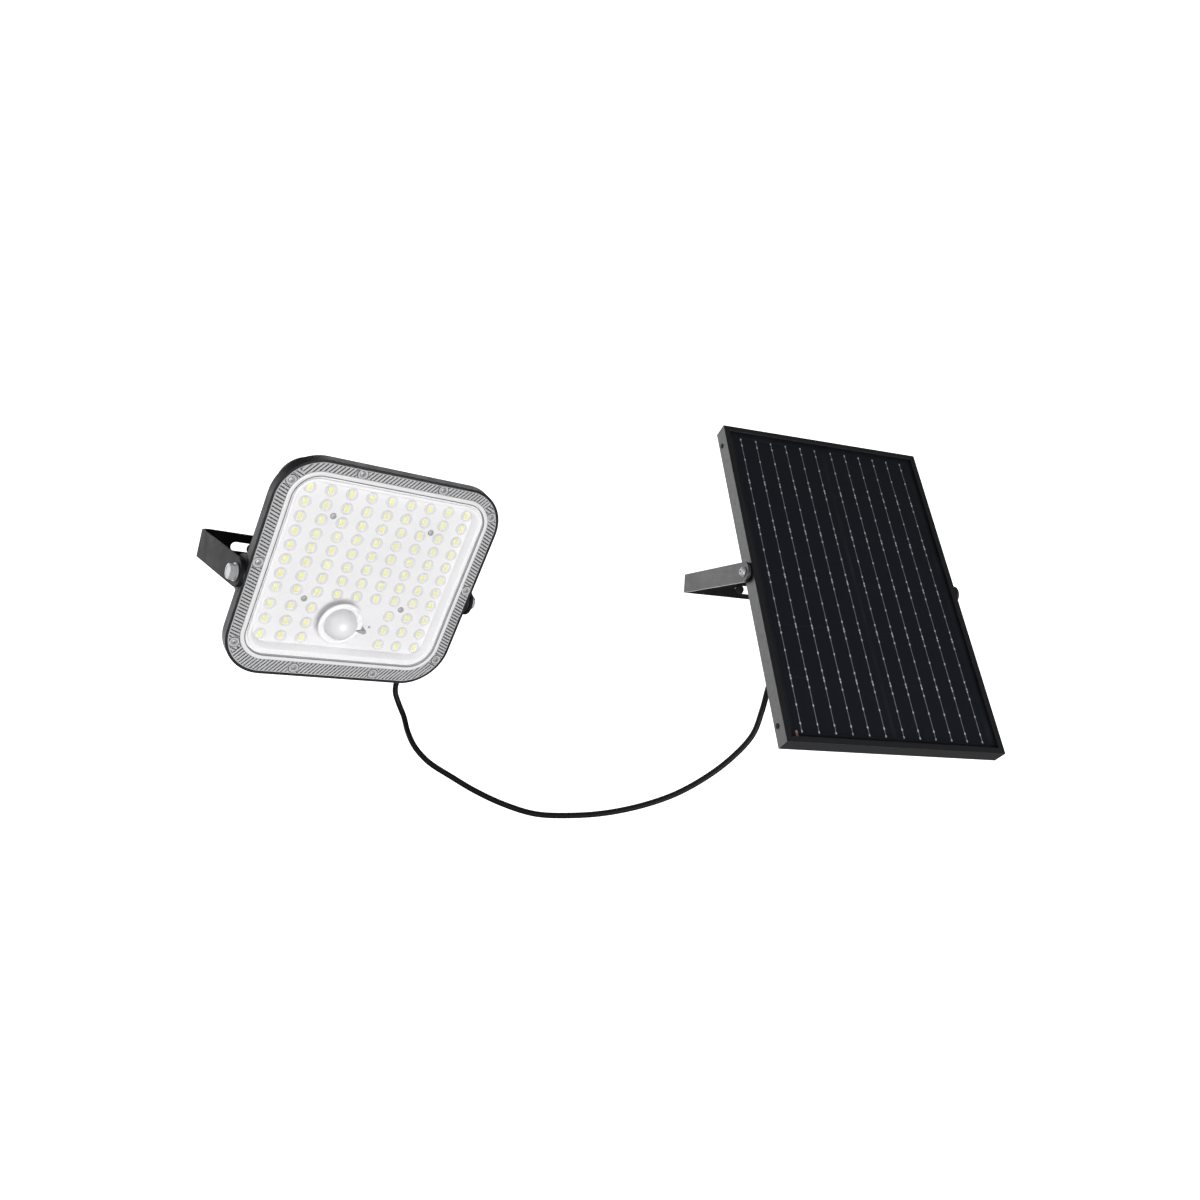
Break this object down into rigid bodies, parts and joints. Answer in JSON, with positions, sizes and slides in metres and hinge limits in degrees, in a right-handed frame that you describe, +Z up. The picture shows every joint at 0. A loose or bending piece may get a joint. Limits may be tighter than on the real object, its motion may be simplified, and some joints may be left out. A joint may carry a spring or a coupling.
{
  "type": "solar flood light",
  "caption": "Square LED flood light with a motion sensor on a U bracket, wired by a hanging cable to a separate tilting solar panel on its own bracket.",
  "frame": {"origin": "middle of the panel bracket's rear face, at its round fixing hole", "axes": "+X along the panel's tilt axis from the lamp towards the panel, +Y into the wall, +Z up; the lamp bracket is turned 19.5 degrees about Z and slopes 18.5 degrees"},
  "size_m": [0.7581, 0.3143, 0.4196],
  "materials": {
    "housing_black": "fine textured",
    "cover_clear": "clear moulded polycarbonate",
    "white_plastic": "smooth",
    "board_white": "white solder mask",
    "package_white": "smooth",
    "phosphor": "satin",
    "zinc_steel": "bright zinc",
    "silicone": "matt",
    "dome_milky": "milky",
    "sensor_can": "plated",
    "board_green": "solder mask",
    "smoke_lens": "smooth",
    "cell_wrap": "shrink sleeve",
    "inner_black": "moulded",
    "rubber_black": "matt",
    "nylon_black": "moulded nylon",
    "brass": "turned",
    "bracket_paint": "fine powder coat",
    "bracket_grey": "fine powder coat",
    "frame_anodised": "black anodised",
    "key_alu": "mill finish",
    "panel_glass": "tempered, smooth",
    "silicon": "dark monocrystalline cell",
    "ribbon": "tinned",
    "ribbon_copper": "tinned copper",
    "back_black": "laminated film",
    "sealant": "silicone bead",
    "terminal": "plated",
    "cable_jacket": "satin jacket"
  },
  "bodies": {
    "brackets": {"lamp_bracket": "bracket_paint", "lamp_bracket_plugs": "rubber_black", "panel_bracket": "bracket_grey", "panel_bracket_plugs": "rubber_black", "cable_lamp_side": "cable_jacket", "cable_panel_side": "cable_jacket"},
    "lamp_head": {"lamp_housing": "housing_black", "lamp_cover": "cover_clear", "cover_gasket": "silicone", "cover_screws": "zinc_steel", "reflector_frame": "white_plastic", "led_board": "board_white", "led_packages": "package_white", "led_phosphors": "phosphor", "led_lenses": "cover_clear", "board_screws": "zinc_steel", "sensor_collar": "white_plastic", "sensor_dome": "dome_milky", "motion_sensor": "sensor_can", "sensor_board": "board_green", "light_sensor": "smoke_lens", "status_lamp": "smoke_lens", "battery_cells": "cell_wrap", "battery_cradle": "inner_black", "cradle_screws": "zinc_steel", "controller_board": "board_green", "controller_parts": "inner_black", "vent_plug": "nylon_black", "lamp_gland": "nylon_black", "lamp_gland_nut": "nylon_black", "lamp_relief": "rubber_black", "pivot_inserts": "brass", "friction_washers": "nylon_black", "lamp_washers": "zinc_steel", "lamp_bolts": "zinc_steel"},
    "panel_head": {"rail_left": "frame_anodised", "rail_right": "frame_anodised", "rail_top": "frame_anodised", "rail_bottom": "frame_anodised", "corner_keys": "key_alu", "corner_screws": "bracket_paint", "panel_glass": "panel_glass", "solar_cells": "silicon", "cell_ribbons": "ribbon", "end_ribbons": "ribbon_copper", "back_sheet": "back_black", "frame_sealant": "sealant", "junction_box": "nylon_black", "junction_seal": "silicone", "junction_lid": "nylon_black", "lid_screws": "zinc_steel", "junction_diode": "inner_black", "junction_terminals": "terminal", "junction_gland_nut": "nylon_black", "junction_relief": "rubber_black", "panel_spacers": "nylon_black", "panel_washers": "zinc_steel", "panel_bolts": "zinc_steel", "panel_nuts": "zinc_steel"}
  },
  "joints": [
    {"name": "lamp_tilt", "type": "hinge", "parent": "brackets", "child": "lamp_head", "pos_m": [-0.484, -0.064, -0.045], "axis": [0.9426, 0.3338, 0], "range_deg": [-39, 35], "deforming": ["cable_lamp_side"]},
    {"name": "panel_tilt", "type": "hinge", "parent": "brackets", "child": "panel_head", "pos_m": [0, -0.144, 0], "axis": [1, 0, 0], "range_deg": [-23, 72], "deforming": ["cable_panel_side"]}
  ]
}
